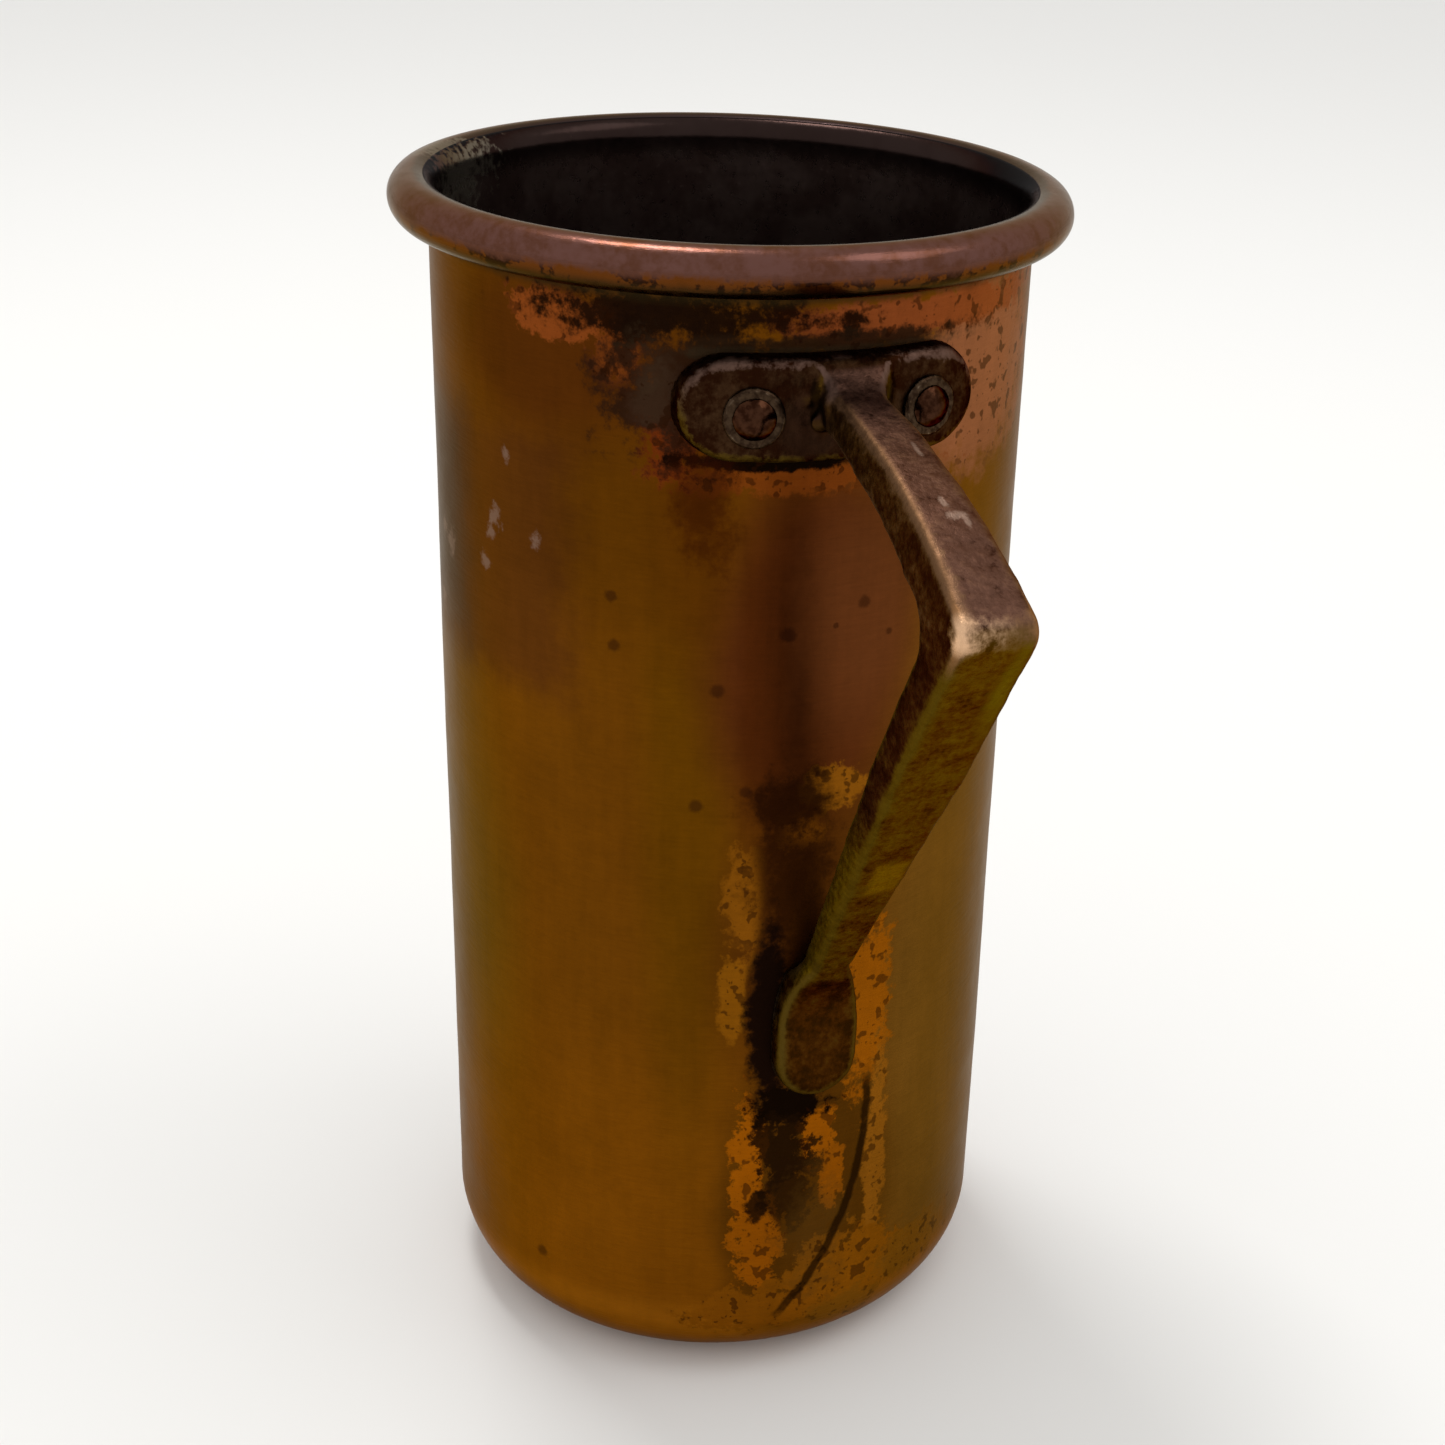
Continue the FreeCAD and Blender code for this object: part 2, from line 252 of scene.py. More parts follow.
def wall_mm(tree, place, radius):
    """Place on the wall rolled out flat: distance round from the handle, and height, in millimetres."""
    parts = add(tree, "SeparateXYZ", {0: place}, out=0).node.outputs
    turn = add(tree, "Math", {0: parts[1], 1: parts[0]}, operation="ARCTAN2")
    around = add(tree, "Math", {0: turn, 1: radius}, operation="MULTIPLY")
    return add(tree, "CombineXYZ", {0: around, 1: parts[2]})


def grain(tree, place, size, detail=3.0, rough=0.55, stretch=(1, 1, 1)):
    """Noise about zero, from -0.5 to 0.5, whose lumps are size millimetres across."""
    scaled = add(tree, "VectorMath", {0: place, 1: tuple(s / size for s in stretch)}, operation="MULTIPLY")
    lumps = add(tree, "TexNoise", {"Vector": scaled, "Scale": 1.0, "Detail": detail, "Roughness": rough})
    return add(tree, "Math", {0: lumps, 1: 0.5}, operation="SUBTRACT")


def patch(tree, where, centre, reach, ragged, amount=0.6, edge=0.2, square=False):
    """Mask, 1 inside an oval or square patch: ragged is the noise that breaks its edge."""
    away = add(tree, "VectorMath", {0: where, 1: (*centre, 0)}, operation="SUBTRACT")
    away = add(tree, "VectorMath", {0: away, 1: (*reach, 1)}, operation="DIVIDE")
    if square:
        parts = add(tree, "VectorMath", {0: away}, operation="ABSOLUTE")
        sides = add(tree, "SeparateXYZ", {0: parts}).node.outputs
        far = add(tree, "Math", {0: sides[0], 1: sides[1], 2: 0.15}, operation="SMOOTH_MAX")
    else:
        far = add(tree, "VectorMath", {0: away}, out="Value", operation="LENGTH")
    far = add(tree, "Math", {0: ragged, 1: amount, 2: far}, operation="MULTIPLY_ADD")
    return band(tree, far, 1 + edge, 1 - edge)


def over(tree, below, colour, mask, strength=1.0):
    """Colour laid over another where the mask is 1."""
    colour = linear(colour) if isinstance(colour, str) else colour
    if strength != 1.0:
        mask = add(tree, "Math", {0: mask, 1: strength}, operation="MULTIPLY")
    return add(tree, "Mix", {0: mask, 6: below, 7: colour}, out=2, data_type="RGBA")


def band(tree, value, start, end):
    """Smooth step from 0 at start to 1 at end."""
    return add(tree, "MapRange", {0: value, 1: start, 2: end}, interpolation_type="SMOOTHSTEP")


# ---- materials ----------------------------------------------------------------------------------
# Patina on the rolled-out wall, with some painted reflection and painted shadow among it: middle and reach
# (mm round from the handle, and up), softness of the edge, raggedness, colour, strength.
SOFT_TONES = [
    ((-66, 50), (18, 62), 0.5, 0.3, "#64460e", 0.9),      # paler olive towards the left
    ((-30, 16), (48, 38), 0.5, 0.3, "#734104", 0.8),      # warmer foot
    ((27, 62), (19, 72), 0.5, 0.3, "#664414", 0.9),       # olive brown right of the handle
    ((-18, 106), (6, 60), 0.6, 0.4, "#5c3702", 0.9),      # olive band left of the handle
    ((-10, 4), (90, 9), 0.3, 0.3, "#8a520c", 0.9),        # where the wall turns under
    ((-38, 154), (22, 12), 0.5, 0.5, "#4a2406", 0.9),     # brown below the rim
    ((-2, 118), (14, 27), 0.35, 0.5, "#50260c", 1.0),     # red brown field behind the bar
    ((5, 122), (9, 15), 0.6, 0.4, "#5c3115", 0.9),        # its lighter middle
    ((-19, 136), (5, 14), 0.8, 0.9, "#4a1f02", 0.8),
    ((-26, 132), (13, 14), 0.6, 0.4, "#563003", 0.8),
    ((0, 32), (13.5, 26), 0.25, 0.4, "#4c2c05", 0.9),     # dark field below the pad
    ((-2, 74), (11, 22), 0.45, 0.4, "#442205", 0.85),      # and beside the strap
]
SQUARE_TONES = [
    ((-8.3, 112), (3.0, 22), 0.4, 0.4, "#3c1802", 0.45),
    ((-56, 126), (21.5, 17.5), 0.22, 0.40, "#4c270d", 0.65),   # hazy purple field, a painted reflection
    # the field's greyer left part, also a painted reflection
    ((-65, 127), (9, 15), 0.6, 0.5, "#3a261c", 0.9),
]
ORANGE = [
    ((25, 152), (15, 13), 0.3, 1.1, "#8b5535", 0.95),    # bared copper right of the plate, lightened as a painted highlight
    ((12, 160.8), (24, 2.9), 0.2, 2.0, "#83421d", 1.0),   # under the rim
    ((-36, 160), (8.5, 3.2), 0.15, 2.2, "#7d3e16", 1.0),
    ((-27, 156), (3.5, 4.5), 0.15, 2.4, "#6b3410", 1.0),
    ((-6, 141.4), (15, 2.2), 0.35, 3.0, "#7a3b0f", 0.8),   # flecks under the plate
    ((-21, 147), (4, 6), 0.2, 2.4, "#64290a", 1.0),
    ((1.5, 97.5), (4.5, 3.4), 0.15, 1.6, "#86500d", 1.0), # beside the strap
    ((-2.5, 92), (3.0, 3.0), 0.2, 2.4, "#7a4508", 1.0),
    ((-10.3, 80), (2.6, 9), 0.3, 2.2, "#87500c", 0.75),
    ((-11.6, 67), (1.7, 7), 0.3, 2.4, "#85500a", 0.85),
    ((8.4, 62), (3.6, 15), 0.2, 2.2, "#8e4e05", 0.95),    # right of the pad
    ((-8.6, 37), (2.6, 13), 0.15, 2.8, "#935004", 1.0),   # below the pad
    ((-7, 24), (3.4, 9), 0.12, 2.3, "#8e4d04", 1.0),
    ((1.2, 42), (2.8, 6), 0.12, 2.2, "#935004", 1.0),
    ((3.8, 34), (2.2, 5), 0.12, 2.3, "#8c4c04", 1.0),
    ((11.2, 34), (2.0, 17), 0.15, 1.9, "#84500f", 1.0),
    ((7, 17), (11, 7), 0.15, 2.3, "#804a06", 1.0),
    ((-6, 12), (10, 4), 0.15, 2.5, "#7c4706", 1.0),
    ((21, 15), (9, 4), 0.3, 2.2, "#74480c", 0.9),
    ((7.5, 9), (6, 3), 0.3, 2.0, "#74480c", 0.9),
]
SOOT_AND_SHADOW = [
    ((-20, 153), (9, 9), 0.4, 2.8, "#2a180e", 0.9),      # left of the plate
    ((-20, 161.5), (18, 3.0), 0.35, 2.8, "#1c0e06", 0.95), # under the rim
    ((0, 158.4), (20, 1.4), 0.4, 2.6, "#2c1c10", 0.9),    # above the plate
    ((-9, 143.6), (13, 1.2), 0.2, 1.6, "#120803", 1.0),   # under the plate
    ((-16.5, 138), (3.6, 8), 0.6, 2.2, "#3c1503", 0.6),
    ((-4, 96), (5, 4.6), 0.6, 2.2, "#2a1204", 0.85),       # behind the strap, and on down past the pad: soot and painted shadow of the handle
    ((-4, 84), (4.4, 13), 0.6, 2.4, "#2c1204", 0.7),
    ((-6.5, 62), (2.9, 15), 0.3, 1.5, "#180b05", 1.0),
    ((-3, 48), (6, 3.0), 0.2, 2.0, "#120803", 1.0),
    ((-4, 40), (4.0, 6), 0.15, 2.6, "#1c0e04", 0.9),
    ((-3, 33), (4.5, 6), 0.2, 2.6, "#251305", 0.8),
    ((-7.5, 31), (1.6, 3), 0.2, 2.0, "#1c0e04", 0.9),
]
HAZE = [
    ((-23.0, 152), (2.2, 5), 0.6, 3.0, "#4a3a2a", 0.35),  # grey bloom at the plate's left end
    ((1.5, 25), (4.5, 9), 0.6, 3.0, "#5c3d14", 0.4),
    ((-0.5, 157.4), (20, 0.7), 0.5, 2.6, "#3d3222", 0.4),
]
PALE_SPOTS = [(-47.5, 131, 1.3), (-48.5, 128.6, 1.0), (-40, 129.6, 0.9), (-61, 123, 1.6), (-50, 124, 1.0),
              (-66, 113, 1.5), (-64, 124.4, 1.2), (-45, 140, 0.8)]
DARK_LINE_MIDDLE, DARK_LINE_RADIUS = (-42.7, 45.7, 0), 52.0     # the long dark line is a stretch of this circle
# Places and sizes of pale spots and of pits, all in mm: round from the handle, up, reach.
PITS = [(-5.3, 120.2, 1.1), (5, 123.8, 0.8), (-28.6, 124.4, 0.8), (-28.2, 117.6, 0.8), (-14.4, 112.6, 0.9),
        (-17, 95.8, 0.9), (-41, 16.6, 0.9), (9, 119, 0.5), (-10.5, 98, 0.8), (1, 121, 0.4)]


def laid(tree, colour, where, patches, ragged, square=False):
    """All patches of one list over a colour, and how much of the surface they cover."""
    cover = None
    for centre, reach, edge, amount, code, strength in patches:
        mask = patch(tree, where, centre, reach, ragged, amount, edge, square)
        colour = over(tree, colour, code, mask, strength)
        if cover is None:
            cover = mask
        else:
            cover = add(tree, "Math", {0: cover, 1: mask}, operation="MAXIMUM")
    return colour, cover


def aged_copper(body, colours):
    """Copper, raised and worn: brown oxide with a dull hand polish, soot where flame and solder reached it
    (with painted shadow of the handle beside the strap and pad), and bright metal bared in mottled patches."""
    material, tree = new_material("aged_copper")
    place = position_mm(tree)
    radius = (body.rim - 2 * body.bead + body.sheet) / MM
    where = wall_mm(tree, place, radius)
    broad = grain(tree, place, 22)
    coarse = grain(tree, place, 4.5, 5.0, 0.6)
    fine = grain(tree, place, 1.3, 5.0, 0.7)
    speck = grain(tree, place, 0.9, 3.0)
    brushed = grain(tree, place, 1.1, 3.0, 0.6, (0.25, 0.25, 2.5))
    mixed = add(tree, "Math", {0: fine, 1: 0.7, 2: coarse}, operation="MULTIPLY_ADD")
    high = add(tree, "SeparateXYZ", {0: where}).node.outputs[1]

    colour, _ = laid(tree, tuple(colours.copper), where, SOFT_TONES, broad)
    colour, _ = laid(tree, colour, where, SQUARE_TONES, coarse, True)
    # bared copper; the patch right of the plate also carries a painted highlight
    colour, bared_and_highlit = laid(tree, colour, where, ORANGE, mixed)
    # soot, and painted shadow of the handle beside the strap and pad
    colour, soot_and_shadow = laid(tree, colour, where, SOOT_AND_SHADOW, mixed)
    colour, _ = laid(tree, colour, where, HAZE, mixed)
    # dark specks in the bared patches
    blots = grain(tree, place, 2.3, 2.0)
    dots = add(tree, "Math", {0: band(tree, speck, 0.13, 0.20), 1: band(tree, blots, 0.08, 0.13)},
               operation="MAXIMUM")
    colour = over(tree, colour, "#2a1204", add(tree, "Math", {0: dots, 1: bared_and_highlit}, operation="MULTIPLY"), 0.65)
    # one long dark curved line, also sunk in the bump, that runs down from the pad's right
    curve = add(tree, "VectorMath", {0: where, 1: DARK_LINE_MIDDLE}, operation="SUBTRACT")
    curve = add(tree, "VectorMath", {0: curve}, out="Value", operation="LENGTH")
    curve = add(tree, "Math", {0: coarse, 1: 1.6, 2: curve}, operation="MULTIPLY_ADD")
    curve = add(tree, "Math", {0: curve, 1: DARK_LINE_RADIUS}, operation="SUBTRACT")
    curve = add(tree, "Math", {0: curve}, operation="ABSOLUTE")
    within = patch(tree, where, (5, 30), (20, 21), coarse, 0.5, 0.1)
    dark_line = add(tree, "Math", {0: band(tree, curve, 1.0, 0.4), 1: within}, operation="MULTIPLY")
    colour = over(tree, colour, "#190b02", dark_line, 0.85)
    # fine streaks of the polish and a slow change of tone
    upright = grain(tree, place, 3.5, 4.0, 0.6, (1.6, 1.6, 0.12))
    streak = add(tree, "Math", {0: brushed, 1: 0.24, 2: 1.04}, operation="MULTIPLY_ADD")
    streak = add(tree, "Math", {0: upright, 1: 0.30, 2: streak}, operation="MULTIPLY_ADD")
    slow = add(tree, "Math", {0: broad, 1: 0.55, 2: streak}, operation="MULTIPLY_ADD")
    slow = add(tree, "Math", {0: mixed, 1: 0.35, 2: slow}, operation="MULTIPLY_ADD")
    colour = add(tree, "VectorMath", {0: colour, 3: slow}, operation="SCALE")
    for x, z, size in PALE_SPOTS:
        mask = patch(tree, where, (x, z), (size * 0.8, size), fine, 4.0, 0.5)
        colour = over(tree, colour, "#866e60", mask, 0.5)
    pits = None
    for x, z, size in PITS:
        mask = patch(tree, where, (x, z), (size, size), fine, 1.0, 0.4)
        colour = over(tree, colour, "#2a1206", mask, 0.6)
        pits = mask if pits is None else add(tree, "Math", {0: pits, 1: mask}, operation="MAXIMUM")
    # the rolled rim: purplish brown on top, orange brown and spotted below, dark towards the mouth
    rim_low = (body.height - 2 * body.bead) / MM
    rim_top = (body.height - body.bead) / MM
    lean = add(tree, "Math", {0: mixed, 1: 3.0, 2: high}, operation="MULTIPLY_ADD")
    on_rim = band(tree, high, rim_low - 0.6, rim_low + 0.1)
    lower = add(tree, "Mix", {0: band(tree, mixed, 0.0, 0.09), 6: linear("#5d3210"), 7: linear("#26130a")},
                out=2, data_type="RGBA")
    upper = add(tree, "Mix", {0: band(tree, mixed, -0.15, 0.2), 6: linear("#65443c"), 7: linear("#583628")},
                out=2, data_type="RGBA")
    rim = add(tree, "Mix", {0: band(tree, lean, rim_top - 0.9, rim_top + 0.4), 6: lower, 7: upper},
              out=2, data_type="RGBA")
    flat = add(tree, "VectorMath", {0: place, 1: (1, 1, 0)}, operation="MULTIPLY")
    out_from = add(tree, "VectorMath", {0: flat}, out="Value", operation="LENGTH")
    out_from = add(tree, "Math", {0: coarse, 1: 2.5, 2: out_from}, operation="MULTIPLY_ADD")
    crown = (body.rim - body.bead) / MM
    rim = over(tree, rim, "#33292a", band(tree, out_from, crown + 0.3, crown - 0.9), 0.95)
    rim = over(tree, rim, "#80776a", patch(tree, where, (-88, rim_top + 1.5), (6, 3), fine, 4.0, 0.3), 0.6)
    colour = add(tree, "Mix", {0: on_rim, 6: colour, 7: rim}, out=2, data_type="RGBA")
    # verdigris and dirt in the gap under the rim
    gap = patch(tree, where, (0, rim_low + 0.2), (400, 1.5), coarse, 0.9, 0.5)
    colour = over(tree, colour, "#2b2110", gap, 0.8)

    rough = add(tree, "Math", {0: on_rim, 1: -0.12, 2: 0.36}, operation="MULTIPLY_ADD")
    rough = add(tree, "Math", {0: coarse, 1: 0.16, 2: rough}, operation="MULTIPLY_ADD")
    rough = add(tree, "Math", {0: soot_and_shadow, 1: 0.22, 2: rough}, operation="MULTIPLY_ADD")
    rough = add(tree, "Math", {0: bared_and_highlit, 1: 0.08, 2: rough}, operation="MULTIPLY_ADD")
    relief = add(tree, "Math", {0: fine, 1: 0.5, 2: brushed}, operation="MULTIPLY_ADD")
    relief = add(tree, "Math", {0: add(tree, "Math", {0: soot_and_shadow, 1: bared_and_highlit}, operation="MAXIMUM"), 1: fine,
                                2: relief}, operation="MULTIPLY_ADD")
    relief = add(tree, "Math", {0: pits, 1: -0.8, 2: relief}, operation="MULTIPLY_ADD")
    relief = add(tree, "Math", {0: dark_line, 1: -1.5, 2: relief}, operation="MULTIPLY_ADD")
    bump = add(tree, "Bump", {"Strength": 0.35, "Distance": 0.12 * MM, "Height": relief})
    finish_surface(tree, Base_Color=colour, Roughness=rough, Metallic=1.0, Normal=bump,
                   Specular_Tint=linear("#d2c8ba"))
    return material


def dark_tin(body):
    """Tin, wiped on hot and blackened by use: a dark, slightly greasy skin with pale bloom near the rim,
    partly a painted highlight.
    """
    material, tree = new_material("blackened_tin")
    place = position_mm(tree)
    coarse = grain(tree, place, 7)
    fine = grain(tree, place, 1.2, 4.0)
    high = add(tree, "SeparateXYZ", {0: place}).node.outputs[2]
    colour = add(tree, "Mix", {0: band(tree, coarse, -0.15, 0.15), 6: linear("#45342f"),
                               7: linear("#574741")}, out=2, data_type="RGBA")
    near_rim = band(tree, high, body.height / MM - 26, body.height / MM - 10)
    # pale bloom near the rim, partly a painted highlight
    bloom_and_highlight = add(tree, "Math", {0: near_rim, 1: band(tree, fine, 0.12, 0.25)}, operation="MULTIPLY")
    colour = over(tree, colour, "#5b4d47", bloom_and_highlight, 0.5)
    lip = band(tree, high, body.height / MM - 7, body.height / MM - 3)
    colour = over(tree, colour, "#241a18", lip, 0.9)
    where = wall_mm(tree, place, (body.rim - 2 * body.bead + body.sheet) / MM)
    scuff = patch(tree, where, (-88, body.height / MM - 4), (8, 4.5), fine, 5.0, 0.5)
    colour = over(tree, colour, "#8d8474", scuff, 0.55)
    rough = add(tree, "Math", {0: lip, 1: -0.08, 2: 0.30}, operation="MULTIPLY_ADD")
    rough = add(tree, "Math", {0: fine, 1: 0.2, 2: rough}, operation="MULTIPLY_ADD")
    bump = add(tree, "Bump", {"Strength": 0.3, "Distance": 0.1 * MM, "Height": fine})
    finish_surface(tree, Base_Color=colour, Roughness=rough, Metallic=0.9, Normal=bump,
                   Specular_Tint=linear("#807068"))
    return material


# on the top of the bar, in mm: from the axis, to the right, reach
BAR_SCRATCHES = ((73.4, 0.2, (0.9, 0.35)), (75.6, 0.9, (0.6, 1.1)), (76.6, 1.7, (1.0, 0.35)),
                 (63, 1.2, (1.2, 0.3)))
ELBOW_CORNER = (90.0, -3.4, 140.0)      # where the elbow's left corner is rubbed bright and carries a painted highlight
FAR_ACROSS = 0.5                        # the rubbed corner and its painted highlight reach twice as far across the elbow
BRAZE_LUMP = (44.5, -4.5, 149.0)        # left of the root


def cast_brass(colours):
    """Brass, sand cast: purple-brown skin on top, olive where it is handled, and edges worn to pale metal;
    the elbow carries painted highlights and the sides painted shade.
    """
    material, tree = new_material("cast_brass")
    place = position_mm(tree)
    parts = add(tree, "SeparateXYZ", {0: place}).node.outputs
    facing = add(tree, "SeparateXYZ", {0: add(tree, "NewGeometry", out="Normal")}).node.outputs
    coarse = grain(tree, place, 3.2, 4.0, 0.6)
    fine = grain(tree, place, 0.9, 4.0, 0.7)
    drawn = grain(tree, place, 1.0, 3.0, 0.6, (0.35, 2.2, 0.5))
    mixed = add(tree, "Math", {0: fine, 1: 0.7, 2: coarse}, operation="MULTIPLY_ADD")

    def tones(dark, light, by, start, end):
        dark = linear(dark) if isinstance(dark, str) else dark
        return add(tree, "Mix", {0: band(tree, by, start, end), 6: dark, 7: linear(light)}, out=2,
                   data_type="RGBA")

    top = over(tree, tones(tuple(colours.bronze), "#624539", mixed, -0.1, 0.25), "#2d1a13",
               band(tree, mixed, -0.08, -0.25), 0.7)
    olive = over(tree, tones("#543706", "#654b08", mixed, -0.2, 0.2), "#352303",
                 band(tree, mixed, -0.1, -0.25), 0.6)
    front = add(tree, "CombineXYZ", {0: parts[1], 1: parts[2]})
    olive = over(tree, olive, "#716010", patch(tree, front, (4.2, 131), (2.2, 8), mixed, 1.2, 0.4), 0.7)
    # faces turned sideways: dark as painted shade, olive lower down on the strap
    side = tones("#362110", "#4a321a", mixed, -0.2, 0.2)
    side = add(tree, "Mix", {0: band(tree, parts[2], 108.0, 96.0), 6: side,
                             7: tones("#594209", "#70590f", mixed, -0.2, 0.2)}, out=2, data_type="RGBA")
    upward = band(tree, facing[2], 0.3, 0.65)
    outward = band(tree, facing[0], 0.3, 0.7)
    colour = add(tree, "Mix", {0: outward, 6: side, 7: olive}, out=2, data_type="RGBA")
    colour = add(tree, "Mix", {0: upward, 6: colour, 7: top}, out=2, data_type="RGBA")
    # the pad and the plate are darker on their faces
    low = add(tree, "Math", {0: coarse, 1: 4.0, 2: parts[2]}, operation="MULTIPLY_ADD")
    colour = add(tree, "Mix", {0: band(tree, low, 72.5, 69.5), 6: colour,
                               7: tones("#2b1703", "#452405", mixed, -0.2, 0.2)}, out=2, data_type="RGBA")
    out_from = add(tree, "VectorMath", {0: place, 1: (1, 1, 0)}, operation="MULTIPLY")
    out_from = add(tree, "VectorMath", {0: out_from}, out="Value", operation="LENGTH")
    plate = add(tree, "Math", {0: band(tree, out_from, 45.2, 44.2), 1: band(tree, parts[2], 140.0, 142.0)},
                operation="MULTIPLY")
    colour = add(tree, "Mix", {0: plate, 6: colour, 7: tones("#241006", "#3c2818", mixed, -0.15, 0.25)},
                 out=2, data_type="RGBA")
    # a polished square on the strap and pale scratches on the bar
    spot = patch(tree, front, (0.9, 95), (2.3, 3.2), fine, 1.4, 0.25, True)
    spot = add(tree, "Math", {0: spot, 1: outward}, operation="MULTIPLY")
    colour = over(tree, colour, "#83640a", spot, 0.75)
    above = add(tree, "CombineXYZ", {0: parts[0], 1: parts[1]})
    for x, y, reach in BAR_SCRATCHES:
        mark = patch(tree, above, (x, y), reach, fine, 3.0, 0.5)
        mark = add(tree, "Math", {0: mark, 1: upward}, operation="MULTIPLY")
        colour = over(tree, colour, "#93796a", mark, 0.7)
    # edges worn to the metal, and darker in the filled-in corners
    worn = add(tree, "Attribute", out="Fac", attribute_name="worn")
    worn = add(tree, "Math", {0: mixed, 1: 0.42, 2: worn}, operation="MULTIPLY_ADD")
    edge = band(tree, worn, 0.0, 0.26)
    upper = add(tree, "Math", {0: band(tree, parts[2], 133.0, 139.0), 1: band(tree, out_from, 43.5, 45.0)},
                operation="MULTIPLY")
    tan = add(tree, "Math", {0: upward, 1: upper}, operation="MAXIMUM")
    bright = add(tree, "Mix", {0: tan, 6: linear("#5b4713"), 7: linear("#674b34")}, out=2, data_type="RGBA")
    bright = over(tree, bright, "#7c5e2c", band(tree, parts[2], 75.0, 71.0))
    # the elbow's front top edge: worn, and painted tan as a highlight along it
    elbow_edge_wear_and_highlight = add(tree, "Math", {0: band(tree, parts[0], 85.0, 89.0), 1: upper}, operation="MULTIPLY")
    elbow_edge_wear_and_highlight = add(tree, "Math", {0: elbow_edge_wear_and_highlight, 1: band(tree, worn, 0.12, 0.36)}, operation="MULTIPLY")
    bright = over(tree, bright, "#8d6643", elbow_edge_wear_and_highlight)
    high_side = add(tree, "Mix", {0: band(tree, parts[2], 149.0, 155.0), 6: linear("#544115"),
                                  7: linear("#644c42")}, out=2, data_type="RGBA")
    bright = over(tree, bright, high_side, band(tree, out_from, 49.0, 47.5))
    # the bar's left edge is rubbed in a broad uneven strip
    rub = add(tree, "Math", {0: mixed, 1: 3.0, 2: parts[1]}, operation="MULTIPLY_ADD")
    rub = add(tree, "Math", {0: band(tree, rub, -2.6, -3.6), 1: upper}, operation="MULTIPLY")
    rub = add(tree, "Math", {0: rub, 1: band(tree, parts[0], 50.0, 58.0)}, operation="MULTIPLY")
    colour = over(tree, colour, "#755740", add(tree, "Math", {0: rub, 1: upward}, operation="MULTIPLY"), 0.75)
    narrow = add(tree, "Math", {0: plate, 1: band(tree, worn, 0.34, 0.06)}, operation="MULTIPLY")
    edge = add(tree, "Math", {0: edge, 1: narrow}, operation="SUBTRACT", use_clamp=True)
    colour = over(tree, colour, bright, edge, 0.9)
    # the elbow's left corner: worn, and painted pale cream as a highlight
    corner = add(tree, "VectorMath", {0: place, 1: (1.0, FAR_ACROSS, 1.0)}, operation="MULTIPLY")
    rub_and_highlight_middle = (ELBOW_CORNER[0], ELBOW_CORNER[1] * FAR_ACROSS, ELBOW_CORNER[2])
    corner = add(tree, "VectorMath", {0: corner, 1: rub_and_highlight_middle}, out="Value", operation="DISTANCE")
    corner = band(tree, corner, 3.2, 1.0)
    rubbed_and_highlit = add(tree, "Math", {0: band(tree, worn, 0.0, 0.28), 1: corner}, operation="MULTIPLY")
    colour = over(tree, colour, "#e0b690", rubbed_and_highlit, 0.9)
    # a dull lump of braze left of the root
    braze = add(tree, "VectorMath", {0: place, 1: BRAZE_LUMP}, out="Value", operation="DISTANCE")
    colour = over(tree, colour, "#2e1c12", band(tree, braze, 5.5, 3.0), 0.8)
    # darker in the filled-in corners
    colour = over(tree, colour, "#120903", band(tree, worn, -0.10, -0.25), 0.85)
    tone = add(tree, "Math", {0: drawn, 1: 0.35, 2: 1.0}, operation="MULTIPLY_ADD")
    tone = add(tree, "Math", {0: fine, 1: 0.35, 2: tone}, operation="MULTIPLY_ADD")
    colour = add(tree, "VectorMath", {0: colour, 3: tone}, operation="SCALE")
    rough = add(tree, "Math", {0: edge, 1: 0.06, 2: 0.44}, operation="MULTIPLY_ADD")
    rough = add(tree, "Math", {0: rubbed_and_highlit, 1: -0.14, 2: rough}, operation="MULTIPLY_ADD")
    rough = add(tree, "Math", {0: fine, 1: 0.3, 2: rough}, operation="MULTIPLY_ADD")
    bump = add(tree, "Bump", {"Strength": 0.6, "Distance": 0.2 * MM, "Height": mixed})
    finish_surface(tree, Base_Color=colour, Roughness=rough, Metallic=1.0, Normal=bump,
                   Specular_Tint=linear("#a48c66"))
    return material


def plain_metal(name, code, second, rough, size, edge="#7b6650"):
    """Metal with two tones in fine lumps, for the small pieces."""
    material, tree = new_material(name)
    place = position_mm(tree)
    fine = grain(tree, place, size, 4.0)
    worn = add(tree, "Attribute", out="Fac", attribute_name="worn")
    worn = add(tree, "Math", {0: fine, 1: 0.10, 2: worn}, operation="MULTIPLY_ADD")
    colour = add(tree, "Mix", {0: band(tree, fine, -0.15, 0.15), 6: linear(code), 7: linear(second)},
                 out=2, data_type="RGBA")
    colour = over(tree, colour, edge, band(tree, worn, 0.02, 0.07), 0.7)
    roughness = add(tree, "Math", {0: fine, 1: 0.2, 2: rough}, operation="MULTIPLY_ADD")
    bump = add(tree, "Bump", {"Strength": 0.4, "Distance": 0.1 * MM, "Height": fine})
    finish_surface(tree, Base_Color=colour, Roughness=roughness, Metallic=1.0, Normal=bump,
                   Specular_Tint=linear("#a08a68"))
    return material


